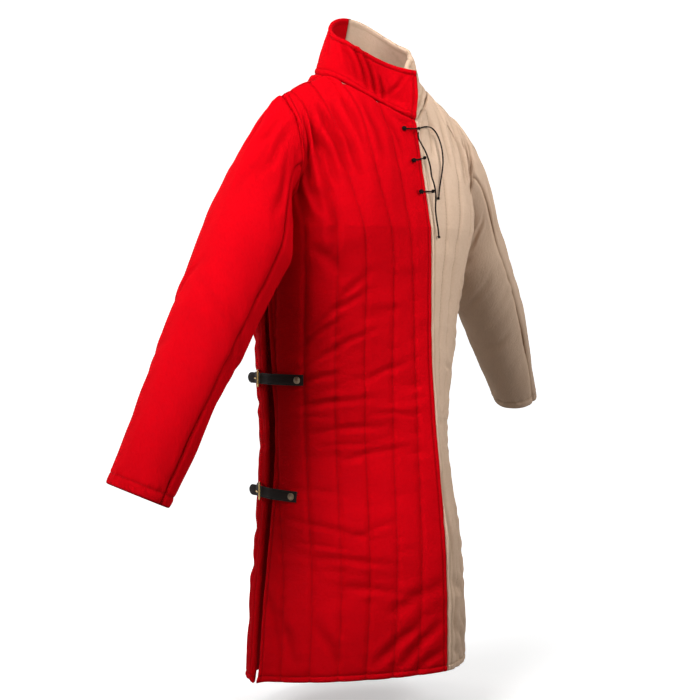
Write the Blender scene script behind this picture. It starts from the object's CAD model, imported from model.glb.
"""The looks of a mi-parti quilted gambeson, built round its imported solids.

The coat is filled out as worn, with nobody in it: red on the wearer's right (-X) and ecru on the left. Heights in
the tables run up from the hem and depths from the side line of the coat; ORIGIN moves both into the model's frame.
"""

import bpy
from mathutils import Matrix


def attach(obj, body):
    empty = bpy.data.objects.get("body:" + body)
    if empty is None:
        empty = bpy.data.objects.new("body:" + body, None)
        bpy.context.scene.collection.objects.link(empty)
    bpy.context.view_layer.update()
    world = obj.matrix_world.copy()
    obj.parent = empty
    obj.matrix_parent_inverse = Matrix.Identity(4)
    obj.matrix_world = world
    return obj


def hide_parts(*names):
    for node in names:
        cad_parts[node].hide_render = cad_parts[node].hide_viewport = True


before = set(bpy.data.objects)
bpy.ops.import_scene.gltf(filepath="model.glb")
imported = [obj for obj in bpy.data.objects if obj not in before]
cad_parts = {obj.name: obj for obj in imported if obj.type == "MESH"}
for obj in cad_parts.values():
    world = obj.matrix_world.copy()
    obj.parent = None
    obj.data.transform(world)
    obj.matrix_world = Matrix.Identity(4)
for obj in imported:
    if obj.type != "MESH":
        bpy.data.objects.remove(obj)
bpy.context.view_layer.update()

import logging
import math
from collections.abc import Callable, Sequence
from dataclasses import dataclass, field
from enum import Enum

import bmesh
import bpy
import numpy as np
from mathutils import Vector

Array = np.ndarray
log = logging.getLogger("gambeson")

ORIGIN = np.array((0.0, -0.050, 0.957))
WALL = 0.0070
PIT_HEIGHT = 0.720
BODY = "root"
CURVE_STEPS = 240
PANEL_WIDTH = 0.30
ARMHOLE_RISE = 0.235
SLEEVE_HEAD = 0.235
COLLAR_LENGTH = 0.235
COLLAR_HEIGHT = 0.085
CENTRE_GAP = 0.0002
DEEPEST_LIFT = 0.0066
BRAID_TURN = 2600.0  # radians that a lace's strands turn in a metre


class Side(Enum):
    """The wearer's side that a piece is on; the value multiplies X of the right-hand form."""

    RIGHT = 1.0
    LEFT = -1.0

    @property
    def label(self) -> str:
        """The word that node names end in."""
        return self.name.lower()


class Edge(Enum):
    """How an edge of a panel is finished."""

    SEAM = "seam"
    BOUND = "bound"


# ---------------------------------------------------------------- curves and tables


def cubic(start: Array, end: Array, leave: Array, arrive: Array, share: Array) -> Array:
    """Gives the points of a cubic with these end points and end slopes.

    Args:
        start, end: The end points.
        leave, arrive: The slopes at the end points.
        share: How far along, from 0 to 1.

    Returns:
        One point for each share.
    """
    t = np.asarray(share)[..., None]
    return (
        (2 * t**3 - 3 * t**2 + 1) * start
        + (t**3 - 2 * t**2 + t) * leave
        + (3 * t**2 - 2 * t**3) * end
        + (t**3 - t**2) * arrive
    )


def bezier(a: Sequence[float], b: Sequence[float], c: Sequence[float], d: Sequence[float]) -> Array:
    """Gives CURVE_STEPS points of the Bezier curve with these four handles."""
    t = np.linspace(0, 1, CURVE_STEPS)[:, None]
    p, q, r, s = (np.array(point, float) for point in (a, b, c, d))
    return (1 - t) ** 3 * p + 3 * (1 - t) ** 2 * t * q + 3 * (1 - t) * t**2 * r + t**3 * s


def read_table(table: Array, key: float) -> Array:
    """Reads a row at this first column, on a smooth curve through the table's rows."""
    keys = table[:, 0]
    i = int(np.clip(np.searchsorted(keys, key) - 1, 0, len(keys) - 2))
    span = keys[i + 1] - keys[i]

    def slope(k: int) -> Array:
        """The rate of change at a row."""
        before, after = max(k - 1, 0), min(k + 1, len(keys) - 1)
        return (table[after] - table[before]) / (keys[after] - keys[before])

    return cubic(table[i], table[i + 1], slope(i) * span, slope(i + 1) * span, np.array((key - keys[i]) / span))


def lengths_along(points: Array) -> Array:
    """The length along a line of points at each of them."""
    return np.concatenate([[0.0], np.cumsum(np.linalg.norm(np.diff(points, axis=0), axis=1))])


def places_on(points: Array, shares: Array, trim: float = 0.0) -> Array:
    """Points at these shares of a curve's length, less a trimmed length at its end."""
    run = lengths_along(points)
    at = shares * (run[-1] - trim)
    return np.stack([np.interp(at, run, points[:, k]) for k in range(points.shape[1])], axis=1)


def smooth_step(value: Array) -> Array:
    """Rises softly from 0 to 1 as the value does."""
    t = np.clip(value, 0, 1)
    return t * t * (3 - 2 * t)


def bell(distance: Array, width: float) -> Array:
    """1 at no distance, falling to nothing past about twice the width."""
    return np.exp(-((distance / width) ** 2))


def ripple(u: Array, v: Array, seed: int) -> Array:
    """Smooth noise from -1 to 1 over a unit lattice.

    Args:
        u, v: Places on the lattice.
        seed: Which of the patterns.

    Returns:
        The noise at each place.
    """
    iu, iv = np.floor(u).astype(np.int64), np.floor(v).astype(np.int64)
    fu, fv = smooth_step(u - iu), smooth_step(v - iv)

    def corner(a: Array, b: Array) -> Array:
        """A fixed random number for a lattice point."""
        n = (a * 374761393 + b * 668265263 + seed * 974634777) & 0xFFFFFFFF
        n = ((n ^ (n >> 13)) * 1274126177) & 0xFFFFFFFF
        return ((n ^ (n >> 16)) & 0xFFFF) / 32767.5 - 1

    low = corner(iu, iv) * (1 - fu) + corner(iu + 1, iv) * fu
    high = corner(iu, iv + 1) * (1 - fu) + corner(iu + 1, iv + 1) * fu
    return low * (1 - fv) + high * fv


EDGE_STEPS = (0.0, 0.0005, 0.0012, 0.0021, 0.0032, 0.0046, 0.0062, 0.0076, 0.0086, 0.0095, 0.0106, 0.0124)


def paced(length: float, cell: float, breaks: Sequence[float] = (0.0, 1.0)) -> Array:
    """Shares of a length at even cells, with finer ones beside each break, where an edge or a seam is rolled.

    Args:
        length: The length that the shares divide, in metres.
        cell: The even step, in metres.
        breaks: The shares at which there are edges or seams.

    Returns:
        The shares, from the first break to the last.
    """
    steps = np.array(EDGE_STEPS) / length
    found = []
    for low, high in zip(breaks[:-1], breaks[1:]):
        count = max(2, round((high - low - 2 * steps[-1]) * length / cell))
        middle = np.linspace(low + steps[-1], high - steps[-1], count + 1)
        found.append(np.concatenate([low + steps[:-1], middle, (high - steps[:-1])[::-1]]))
    return np.unique(np.round(np.concatenate(found), 9))


# ---------------------------------------------------------------- the form of the coat

# height, half width, side y, front, back, prow angle, front run, side run, back run, side gap
SECTIONS = np.array([
    (0.000, 0.188, 0.022, 0.215, 0.137, 16, 0.125, 0.100, 0.100, 0.012),
    (0.100, 0.184, 0.018, 0.215, 0.128, 15, 0.125, 0.100, 0.100, 0.013),
    (0.200, 0.176, 0.014, 0.211, 0.125, 18, 0.115, 0.100, 0.100, 0.015),
    (0.300, 0.168, 0.010, 0.202, 0.126, 25, 0.100, 0.090, 0.090, 0.017),
    (0.390, 0.168, 0.006, 0.192, 0.130, 27, 0.100, 0.090, 0.090, 0.019),
    (0.480, 0.176, 0.004, 0.184, 0.133, 22, 0.110, 0.100, 0.090, 0.019),
    (0.580, 0.185, 0.002, 0.181, 0.137, 14, 0.120, 0.105, 0.100, 0.014),
    (0.660, 0.193, 0.000, 0.181, 0.138, 8, 0.128, 0.118, 0.100, 0.006),
    (0.720, 0.199, 0.000, 0.180, 0.136, 4, 0.135, 0.145, 0.100, 0.000),
])  # fmt: skip

# share of the height, half width, front, back, side y, front height, side height, back height
COLLAR_RINGS = np.array([
    (0.0, 0.112, 0.1480, 0.032, -0.049, 0.893, 0.963, 0.976),
    (0.5, 0.101, 0.1525, 0.019, -0.055, 0.934, 0.998, 1.027),
    (1.0, 0.088, 0.1490, 0.006, -0.062, 0.973, 1.027, 1.075),
])

# step, out, y, height, half depth, half thickness
ARMS = {
    Side.RIGHT: np.array([
        (0, 0.272, -0.038, 0.686, 0.082, 0.067),
        (1, 0.316, -0.025, 0.590, 0.075, 0.060),
        (2, 0.364, -0.011, 0.487, 0.068, 0.053),
        (3, 0.401, 0.003, 0.400, 0.063, 0.048),
        (4, 0.436, 0.017, 0.315, 0.059, 0.044),
    ]),
    Side.LEFT: np.array([
        (0, 0.286, -0.014, 0.691, 0.074, 0.062),
        (1, 0.362, 0.002, 0.605, 0.066, 0.051),
        (2, 0.428, 0.020, 0.513, 0.056, 0.043),
        (3, 0.491, 0.038, 0.418, 0.043, 0.034),
    ]),
}  # fmt: skip


@dataclass(frozen=True)
class CoatForm:
    """The smooth outside of the coat, as worn, for the wearer's right half.

    Each grid holds points with rows first, in the tables' own frame.
    """

    neck_front: tuple[float, float, float] = (0.0, -0.148, 0.893)
    neck_side: tuple[float, float, float] = (-0.112, -0.049, 0.963)
    neck_back: tuple[float, float, float] = (0.0, 0.032, 0.976)
    shoulder: tuple[float, float, float] = (-0.198, -0.044, 0.925)
    hem_slope: float = 0.095
    sewn_side: float = 0.690
    slit_top: float = 0.300
    slit_spread: float = 0.001
    neck_share: dict[str, float] = field(default_factory=lambda: {"front": 5 / 12, "back": 4 / 11})
    notch: dict[str, float] = field(default_factory=lambda: {"front": 0.5, "back": 0.375})
    cell_across: float = 0.0028
    cell_up: float = 0.0035

    def rise_shares(self, panel: str) -> Array:
        """Shares of the height from the arm's pit to the shoulder seam, finer at the sleeve's own seam."""
        return paced(ARMHOLE_RISE, self.cell_up, (0.0, self.notch[panel], 1.0))

    def body_row(self, panel: str, height: float, shares: Array) -> Array:
        """One row of a panel, from the centre line to the side.

        Args:
            panel: "front" or "back".
            height: The row's height at the side line.
            shares: Where the points are along it.

        Returns:
            The points.
        """
        _, half, side_y, front, back, prow, front_run, side_run, back_run, gap = read_table(SECTIONS, height)
        if panel == "front":
            turn = math.radians(prow)
            leave = (-front_run * math.cos(turn), -front + front_run * math.sin(turn))
            points = places_on(bezier((0, -front), leave, (-half, side_y - side_run), (-half, side_y)), shares)
        else:
            trim = max(gap, 0.0) * float(np.clip((self.sewn_side + 0.010 - height) / 0.020, 0, 1))
            curve = bezier((0, back), (-back_run, back), (-half, side_y + 0.06), (-half, side_y))
            points = places_on(curve, shares, trim)
        heights = height - self.hem_slope * points[:, 1] * (1 - height / PIT_HEIGHT)
        return np.column_stack([points, heights])

    def neck_edge(self, panel: str, shares: Array) -> Array:
        """The neck seam of a panel from the centre line to the shoulder seam."""
        front, side, back = (np.array(p) for p in (self.neck_front, self.neck_side, self.neck_back))
        if panel == "front":
            curve = bezier(front, front + (-0.030, 0.020, 0.012), side + (-0.010, -0.038, -0.002), side)
        else:
            curve = bezier(back, back + (-0.055, 0, 0), side + (0, 0.038, 0.010), side)
        return places_on(curve, shares)

    def top_edge(self, panel: str, shares: Array) -> Array:
        """The top of a panel: its neck seam and then its shoulder seam."""
        neck = self.neck_share[panel]
        start, end = np.array(self.neck_side), np.array(self.shoulder)
        run = end - start
        seam = bezier(start, start + run * 0.35, start + run * 0.7 + (0, 0, 0.007), end)
        inner = self.neck_edge(panel, np.clip(shares / neck, 0, 1))
        outer = places_on(seam, np.clip((shares - neck) / (1 - neck), 0, 1))
        return np.where((shares <= neck)[:, None], inner, outer)

    def across_shares(self, panel: str) -> Array:
        """Shares of a panel's width, finer at its two sides and at the neck end of its shoulder seam."""
        return paced(PANEL_WIDTH, self.cell_across, (0.0, self.neck_share[panel], 1.0))

    def panel(self, panel: str) -> Array:
        """The grid of a body panel: rows from the hem up, columns from the centre line to the side."""
        shares = self.across_shares(panel)
        heights = paced(PIT_HEIGHT, self.cell_up) * PIT_HEIGHT
        low = np.array([self.body_row(panel, height, shares) for height in heights])
        base, top = low[-1], self.top_edge(panel, shares)
        edge = (shares**5)[:, None]
        over = np.minimum(1.0, shares / self.neck_share[panel])
        rise = (top - base)[:, 2:] * (0, 0, 1.0)
        none = np.zeros_like(over)
        if panel == "front":
            rise[:, 1] = 0.035 * (1 - over)
            leave = rise * (1 - edge) + np.array((-0.02, -0.36, 0.14)) * edge
            meet = np.stack([none, 0.03 + 0.14 * over, 0.18 - 0.12 * over], axis=1)
            arrive = meet * (1 - edge) + np.array((0.02, 0.24, 0.20)) * edge
        else:
            leave = rise * (1 - edge) + np.array((0.02, 0.22, 0.14)) * edge
            meet = np.stack([none, -0.10 - 0.05 * over, 0.13 - 0.10 * over], axis=1)
            arrive = meet * (1 - edge) + np.array((0, -0.16, 0.18)) * edge
        rises = [np.full(len(shares), t) for t in self.rise_shares(panel)]
        high = np.array([cubic(base, top, leave, arrive, t) for t in rises])
        grid = np.concatenate([low, high[1:]])
        if panel == "front":
            opening = self.slit_spread * np.clip(1 - heights / self.slit_top, 0, 1)
            grid[: len(heights), :, 0] -= np.outer(opening, (1 - shares) ** 2)
        self.kick_corners(grid, shares, heights)
        return grid

    @staticmethod
    def kick_corners(grid: Array, shares: Array, heights: Array) -> None:
        """Turns the lowest corner at the side a little outward, as a stiff bound corner stands."""
        kick = 0.006 * np.outer((1 - np.clip(heights / 0.040, 0, 1)) ** 2, np.clip(shares * 12 - 11, 0, 1) ** 2)
        grid[: len(heights), :, 0] -= kick
        grid[: len(heights), :, 2] -= 0.4 * kick

    def armhole(self, front: Array, back: Array) -> Array:
        """The ring of the armhole, from the shoulder point down the front to the pit and up the back."""
        ahead, behind = len(self.rise_shares("front")), len(self.rise_shares("back"))
        return np.vstack([front[-ahead:, -1][::-1], back[-behind:, -1][1:-1]])

    @staticmethod
    def arm_ring(arm: Array, step: float, angles: Array) -> tuple[Array, Array]:
        """One ring of a sleeve and the way the arm points there."""
        last = len(arm) - 1
        _, out, y, height, half_depth, half_thick = read_table(arm, step)
        ahead, behind = read_table(arm, min(step + 0.05, last)), read_table(arm, max(step - 0.05, 0))
        along = np.array((behind[1] - ahead[1], ahead[2] - behind[2], ahead[3] - behind[3]))
        along /= np.linalg.norm(along)
        forward = np.array((0.0, -1.0, 0.0))
        forward -= along * forward.dot(along)
        forward /= np.linalg.norm(forward)
        upward = np.cross(along, forward)
        points = np.array((-out, y, height)) + half_depth * np.outer(np.sin(angles), forward)
        return points + half_thick * np.outer(np.cos(angles), upward), along

    def sleeve(self, hole: Array, arm: Array) -> Array:
        """The grid of a whole sleeve: rows from the armhole to the cuff, columns round the arm."""
        run = lengths_along(np.vstack([hole, hole[:1]]))
        angles = 2 * math.pi * run[:-1] / run[-1]
        first, along = self.arm_ring(arm, 0.0, angles)
        under = (1 - np.cos(angles))[:, None] / 2
        leave = (1 - under) * (-0.150, 0, -0.036) + under * (-0.080, 0, 0.010)
        arrive = along * (0.24 - 0.16 * under)
        reach = float(np.linalg.norm(arm[0, 1:4] - arm[-1, 1:4]))
        top, last = SLEEVE_HEAD, len(arm) - 1
        shares = paced(top + reach, self.cell_up)
        split = top / (top + reach)
        rows = []
        for share in shares:
            if share < split:
                rows.append(cubic(hole, first, leave, arrive, np.full(len(hole), share / split)))
            else:
                rows.append(self.arm_ring(arm, last * (share - split) / (1 - split), angles)[0])
        return np.array(rows)

    def collar(self, side: Side) -> Array:
        """The grid of a half of the stand collar: rows up from the neck seam, columns from front to back."""
        split = 5 / 9
        across = paced(COLLAR_LENGTH, self.cell_across)
        seam = np.where(
            (across <= split)[:, None],
            self.neck_edge("front", np.clip(across / split, 0, 1)),
            self.neck_edge("back", np.clip((1 - across) / (1 - split), 0, 1)),
        )
        rows = []
        base = self.collar_ring(0.0, across, side)
        for share in paced(COLLAR_HEIGHT, 0.0030):
            near = 1 - smooth_step(np.array(share / 0.30))
            rows.append(self.collar_ring(float(share), across, side) + (seam - base) * near)
        return np.array(rows)

    @staticmethod
    def collar_ring(share: float, across: Array, side: Side) -> Array:
        """One level ring of the collar, from the front edge to the centre back. The left half leans in."""
        _, half, front, back, side_y, front_height, side_height, back_height = read_table(COLLAR_RINGS, share)
        start = np.array((0, -front, front_height))
        lean = share if side is Side.LEFT else 0.0
        flank = np.array((-half * (1 - 0.16 * lean), side_y, side_height))
        end = np.array((0, back, back_height))
        ahead = bezier(start, start + (-0.020, 0.060, 0.012), flank - (0, 0.046 - 0.022 * lean, 0.020), flank)
        behind = bezier(flank, flank + (0, 0.036, 0.012), end - (0.050, 0, 0), end)
        return places_on(np.vstack([ahead, behind[1:]]), across)


FORM = CoatForm()


# ---------------------------------------------------------------- relief of padded cloth


@dataclass(frozen=True)
class Fold:
    """A soft trough in a panel, with a low ridge on each side of it.

    start and end are places on the flat piece: across from its first edge and along it, in metres.
    """

    start: tuple[float, float]
    end: tuple[float, float]
    depth: float
    width: float

    def lift(self, across: Array, along: Array) -> Array:
        """How far the fold moves the cloth out at each place; a trough is negative."""
        (ax, ay), (bx, by) = self.start, self.end
        dx, dy = bx - ax, by - ay
        length = dx * dx + dy * dy
        t = ((across - ax) * dx + (along - ay) * dy) / length
        near = np.clip(t, 0, 1)
        sway = 0.25 * self.width * np.sin(9 * t)
        side = ((across - ax) * dy - (along - ay) * dx) / math.sqrt(length)
        past = np.hypot(across - ax - near * dx, along - ay - near * dy)
        away = np.where((t > 0) & (t < 1), np.abs(side + sway), past)
        taper = np.clip(np.sin(math.pi * np.clip(t * 0.92 + 0.04, 0, 1)), 0, 1) ** 0.7
        trough = bell(away, self.width) - 0.5 * bell(away - 1.9 * self.width, self.width)
        return -self.depth * taper * trough


@dataclass
class Cut:
    """A panel's own measures at each grid point: what a maker would read on the flat piece.

    across, along: distances from the first column and the first row; right, high: distances to the last column
    and the last row; height: the height in the tables' frame.
    """

    across: Array
    along: Array
    right: Array
    high: Array
    height: Array

    @classmethod
    def of(cls, grid: Array) -> "Cut":
        """Measures a grid."""
        step = np.linalg.norm(np.diff(grid, axis=1), axis=2)
        across = np.concatenate([np.zeros((len(grid), 1)), np.cumsum(step, axis=1)], axis=1)
        step = np.linalg.norm(np.diff(grid, axis=0), axis=2)
        along = np.concatenate([np.zeros((1, grid.shape[1])), np.cumsum(step, axis=0)])
        return cls(across, along, across[:, -1:] - across, along[-1:] - along, grid[:, :, 2])


@dataclass(frozen=True)
class Hand:
    """How the padded cloth behaves at its quilting, seams and edges, in metres."""

    groove: float = 0.0021
    groove_width: float = 0.0046
    puff: float = 0.0018
    seam_roll: float = 0.0022
    seam_width: float = 0.0030
    band: float = 0.0090
    band_groove: float = 0.0013
    edge_radius: float = 0.0033

    def edge(self, away: Array, kind: Edge, band: float | None = None) -> tuple[Array, Array]:
        """The lift and the darkening beside an edge.

        Args:
            away: The distance to the edge.
            kind: How it is finished.
            band: The width of the bound or turned band, if not the usual one.

        Returns:
            (lift, sunk) at each place.
        """
        if kind is Edge.SEAM:
            lift = -self.seam_roll * bell(away, self.seam_width) + 0.0005 * bell(away - 0.009, 0.005)
            return lift, bell(away, 0.0022)
        band = self.band if band is None else band
        inside = np.clip(1 - away / self.edge_radius, 0, 1)
        lift = -self.edge_radius * (1 - np.sqrt(np.clip(1 - inside**2, 0, 1)))
        stitched = bell(away - band, 0.0015)
        lift = lift - self.band_groove * stitched + 0.0004 * bell(away - band / 2, band / 3)
        return lift, 0.8 * stitched


HAND = Hand()


@dataclass
class Panel:
    """One sewn piece of the coat: a closed padded shell with an outer face, an inner face and its edges."""

    node: str
    side: Side
    grid: Array
    turn: float
    edges: dict[str, Edge]
    relief: Callable[["Panel"], tuple[Array, Array]]
    band: dict[str, float] = field(default_factory=dict)
    normals: Array = field(init=False)
    cut: Cut = field(init=False)
    outer: Array = field(init=False)

    def __post_init__(self) -> None:
        """Puts the grid on its own side and measures it."""
        self.grid = self.grid * (self.side.value, 1, 1)
        self.turn *= self.side.value
        self.cut = Cut.of(self.grid)
        rows = np.gradient(self.grid, axis=0)
        columns = np.gradient(self.grid, axis=1)
        normal = np.cross(columns, rows) * self.turn
        self.normals = normal / np.maximum(np.linalg.norm(normal, axis=2, keepdims=True), 1e-12)

    def rim(self) -> Array:
        """True at the grid points on the piece's four edges."""
        mask = np.zeros(self.grid.shape[:2], bool)
        mask[0], mask[-1], mask[:, 0], mask[:, -1] = True, True, True, True
        return mask

    def area(self) -> float:
        """The area of the outer face, in square metres."""
        a = self.grid[1:, 1:] - self.grid[:-1, :-1]
        b = self.grid[1:, :-1] - self.grid[:-1, 1:]
        return float(np.linalg.norm(np.cross(a, b), axis=2).sum() / 2)

    def shape(self) -> tuple[Array, Array, Array]:
        """The outer face, the inner face and how sunk each place is."""
        lift, sunk = self.relief(self)
        inner_lift = np.zeros_like(lift)
        for name, away in self.edge_distances().items():
            kind = self.edges[name]
            more, dark = HAND.edge(away, kind, self.band.get(name))
            lift = lift + more
            sunk = np.maximum(sunk, dark)
            inner_lift = inner_lift + np.minimum(HAND.edge(away, kind, 1.0)[0], 0) * 0.95
        lift = np.maximum(lift, -DEEPEST_LIFT)
        inner_lift = np.maximum(inner_lift, -HAND.edge_radius)
        self.outer = self.grid + self.normals * lift[..., None]
        inner = self.grid - self.normals * (WALL + inner_lift)[..., None]
        for face in (self.outer, inner):
            face[:, :, 0] = np.maximum(-face[:, :, 0] * self.side.value, CENTRE_GAP) * -self.side.value
        return self.outer, inner, np.clip(sunk, 0, 1)

    def edge_distances(self) -> dict[str, Array]:
        """How far each place is from each of the four edges."""
        return {"first": self.cut.across, "last": self.cut.right, "low": self.cut.along, "high": self.cut.high}

    def build(self, finish: "ClothFinish") -> bpy.types.Object:
        """Makes the piece.

        Args:
            finish: The cloth that it is cut from.

        Returns:
            The finished object, riding on the coat.
        """
        outer, inner, sunk = self.shape()
        inner_rows = kept_steps(outer.shape[0])
        inner_columns = kept_steps(outer.shape[1])
        coarse = inner[np.ix_(inner_rows, inner_columns)]
        points = np.concatenate([outer.reshape(-1, 3), coarse.reshape(-1, 3)]) - ORIGIN
        number = np.arange(outer.shape[0] * outer.shape[1]).reshape(outer.shape[:2])
        deep = np.arange(coarse.shape[0] * coarse.shape[1]).reshape(coarse.shape[:2]) + number.size
        faces = quads(number, self.turn > 0) + quads(deep, self.turn < 0)
        loops = (
            (number[0], deep[0], inner_columns, True),
            (number[-1], deep[-1], inner_columns, False),
            (number[:, 0], deep[:, 0], inner_rows, False),
            (number[:, -1], deep[:, -1], inner_rows, True),
        )
        for near, far, kept, flipped in loops:
            faces += joined_rim(near, far, kept, flipped == (self.turn > 0))
        picked = np.ix_(inner_rows, inner_columns)
        flat = [np.concatenate([part.reshape(-1), part[picked].reshape(-1)]) for part in
                (self.cut.across, self.cut.along, sunk)]
        obj = new_mesh(f"{self.node}_cloth", points, faces)
        lay_flat(obj, flat[0], flat[1])
        attribute = obj.data.attributes.new("sunk", "FLOAT", "POINT")
        attribute.data.foreach_set("value", flat[2].astype(np.float32))
        obj.data.materials.append(finish.material())
        width = float(self.cut.across[:, -1].max())
        length = float(self.cut.along[-1].max())
        settle(obj, [self.node])
        round(self.area(), 4)
        log.info("%s: %.3f by %.3f m, area %.4f, %d faces", obj.name, width, length, self.area(), len(faces))
        return obj


def kept_steps(count: int) -> Array:
    """Every second index and the last one."""
    return np.unique(np.append(np.arange(0, count, 2), count - 1))


def quads(number: Array, straight: bool) -> list[tuple[int, ...]]:
    """The faces of a grid of point numbers."""
    a, b = number[:-1, :-1].ravel(), number[:-1, 1:].ravel()
    c, d = number[1:, 1:].ravel(), number[1:, :-1].ravel()
    order = (a, b, c, d) if straight else (d, c, b, a)
    return list(zip(*(part.tolist() for part in order)))


def joined_rim(near: Array, far: Array, kept: Array, straight: bool) -> list[tuple[int, ...]]:
    """The faces between an edge's outer points and its fewer inner points.

    Args:
        near: The outer points' numbers.
        far: The inner points' numbers.
        kept: Which outer point each inner one lies under.
        straight: Which way the faces turn.

    Returns:
        The triangles.
    """
    faces = []
    for k in range(len(kept) - 1):
        low, high = int(kept[k]), int(kept[k + 1])
        for j in range(low, high):
            faces.append((int(near[j + 1]), int(near[j]), int(far[k])))
        faces.append((int(near[high]), int(far[k]), int(far[k + 1])))
    return faces if straight else [face[::-1] for face in faces]


def new_mesh(name: str, points: Array, faces: Sequence[Sequence[int]]) -> bpy.types.Object:
    """Makes a smooth mesh object in the scene."""
    mesh = bpy.data.meshes.new(name)
    mesh.from_pydata(np.asarray(points, float).tolist(), [], list(faces))
    mesh.update()
    mesh.polygons.foreach_set("use_smooth", [True] * len(mesh.polygons))
    obj = bpy.data.objects.new(name, mesh)
    bpy.context.scene.collection.objects.link(obj)
    return obj


def lay_flat(obj: bpy.types.Object, across: Array, along: Array) -> None:
    """Gives a mesh the UV map "cut", in metres on the flat piece."""
    layer = obj.data.uv_layers.new(name="cut")
    corner = np.empty(len(obj.data.loops), np.int32)
    obj.data.loops.foreach_get("vertex_index", corner)
    layer.data.foreach_set("uv", np.column_stack([across[corner], along[corner]]).ravel().astype(np.float32))


def settle(obj: bpy.types.Object, nodes: Sequence[str]) -> None:
    """Makes a piece ride on the coat and stand for its solids."""
    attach(obj, BODY)
    if nodes:
        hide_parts(*nodes)


def match_seams(panels: Sequence[Panel]) -> None:
    """Gives panels that meet at a seam the same normals there."""
    masks = [panel.rim() for panel in panels]
    points = np.concatenate([panel.grid[mask] for panel, mask in zip(panels, masks)])
    normals = np.concatenate([panel.normals[mask] for panel, mask in zip(panels, masks)])
    _, index = np.unique(np.round(points * 2e4).astype(np.int64), axis=0, return_inverse=True)
    index = index.reshape(-1)
    total = np.zeros((index.max() + 1, 3))
    np.add.at(total, index, normals)
    shared = total[index]
    shared /= np.maximum(np.linalg.norm(shared, axis=1, keepdims=True), 1e-9)
    place = 0
    for panel, mask in zip(panels, masks):
        count = int(mask.sum())
        panel.normals[mask] = shared[place : place + count]
        place += count


# ---------------------------------------------------------------- the cut pieces

# Each row: the height, then how far each quilting line lies from the centre front.
FRONT_LINES = np.array([
    (0.00, 0.055, 0.095, 0.137, 0.181, 0.228, 0.279),
    (0.25, 0.040, 0.080, 0.124, 0.170, 0.219, 0.273),
    (0.45, 0.030, 0.070, 0.115, 0.162, 0.211, 0.268),
    (0.62, 0.034, 0.070, 0.117, 0.163, 0.214, 0.270),
    (0.70, 0.043, 0.077, 0.125, 0.170, 0.222, 0.276),
    (0.78, 0.050, 0.098, 0.148, 0.184, 0.236, 0.290),
    (0.87, 0.063, 0.117, 0.168, 0.216, 0.262, 0.310),
    (0.96, 0.080, 0.142, 0.215, 0.262, 0.300, 0.340),
])  # fmt: skip
BACK_LINES = np.array([
    (0.00, 0.047, 0.095, 0.143, 0.191, 0.239),
    (0.45, 0.046, 0.093, 0.140, 0.186, 0.232),
    (0.75, 0.048, 0.097, 0.145, 0.193, 0.240),
    (0.96, 0.060, 0.118, 0.172, 0.226, 0.280),
])  # fmt: skip

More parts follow.
